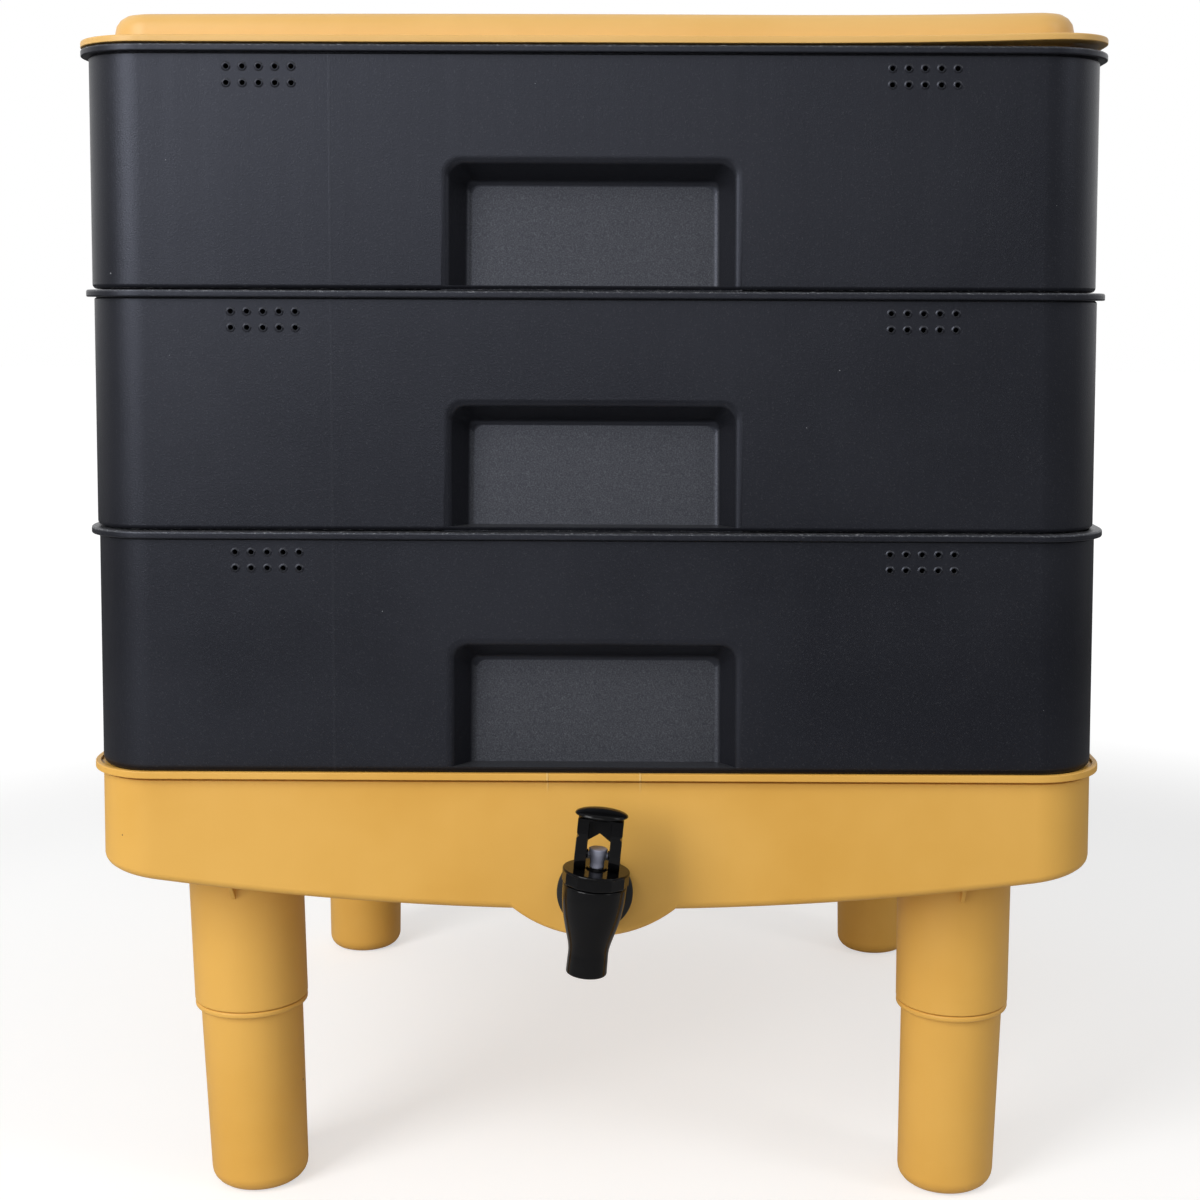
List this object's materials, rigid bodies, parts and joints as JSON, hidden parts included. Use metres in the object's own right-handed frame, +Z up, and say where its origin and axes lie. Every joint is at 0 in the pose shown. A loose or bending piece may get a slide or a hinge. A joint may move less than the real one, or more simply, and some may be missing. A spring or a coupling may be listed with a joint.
{
  "type": "wormery",
  "caption": "Square stacking wormery: a lid and perforated working trays nested on a dished sump base with tubular legs and a push tap.",
  "frame": {"origin": "on the ground, under the middle of the whole wormery's bounding box", "axes": "+Z up, -Y towards the front with the tap, +X to the right seen from the front"},
  "size_m": [0.4615, 0.5006, 0.5532],
  "materials": {
    "mustard_plastic": "satin moulded",
    "black_plastic": "satin moulded",
    "gloss_black_plastic": "gloss",
    "grey_plastic": "satin",
    "washer_rubber": "matte",
    "plug_rubber": "matte"
  },
  "bodies": {
    "base": {"sump_base": "mustard_plastic", "front_left_leg_tube": "mustard_plastic", "front_right_leg_tube": "mustard_plastic", "back_left_leg_tube": "mustard_plastic", "back_right_leg_tube": "mustard_plastic", "front_left_leg": "mustard_plastic", "front_right_leg": "mustard_plastic", "back_left_leg": "mustard_plastic", "back_right_leg": "mustard_plastic", "tap_body": "gloss_black_plastic", "tap_bonnet": "gloss_black_plastic", "tap_washer": "washer_rubber", "inner_washer": "washer_rubber", "tap_nut": "gloss_black_plastic"},
    "bottom_tray_body": {"bottom_tray": "black_plastic"},
    "middle_tray_body": {"middle_tray": "black_plastic"},
    "top_tray_body": {"top_tray": "black_plastic"},
    "lid_body": {"lid": "mustard_plastic"},
    "stem": {"valve_stem": "grey_plastic", "valve_plug": "plug_rubber", "handle_pin": "grey_plastic"},
    "handle": {"tap_handle": "gloss_black_plastic"}
  },
  "joints": [
    {"name": "bottom_tray_lift", "type": "slide", "parent": "base", "child": "bottom_tray_body", "axis": [0, 0, 1], "range_m": [0, 0.12]},
    {"name": "middle_tray_lift", "type": "slide", "parent": "bottom_tray_body", "child": "middle_tray_body", "axis": [0, 0, 1], "range_m": [0, 0.12]},
    {"name": "top_tray_lift", "type": "slide", "parent": "middle_tray_body", "child": "top_tray_body", "axis": [0, 0, 1], "range_m": [0, 0.12]},
    {"name": "lid_lift", "type": "slide", "parent": "top_tray_body", "child": "lid_body", "axis": [0, 0, 1], "range_m": [0, 0.12]},
    {"name": "stem_slide", "type": "slide", "parent": "base", "child": "stem", "axis": [0.0958, 0, 0.9954], "range_m": [0, 0.0031]},
    {"name": "handle_turn", "type": "hinge", "parent": "stem", "child": "handle", "pos_m": [0.0036, -0.2357, 0.18628], "axis": [0.9954, 0, -0.0958], "range_deg": [0, 90], "stiffness_Nm_per_rad": 0.02}
  ],
  "couplings": [
    {"joint": "stem_slide", "follows": "handle_turn", "m_per_rad": 0.0019098}
  ]
}
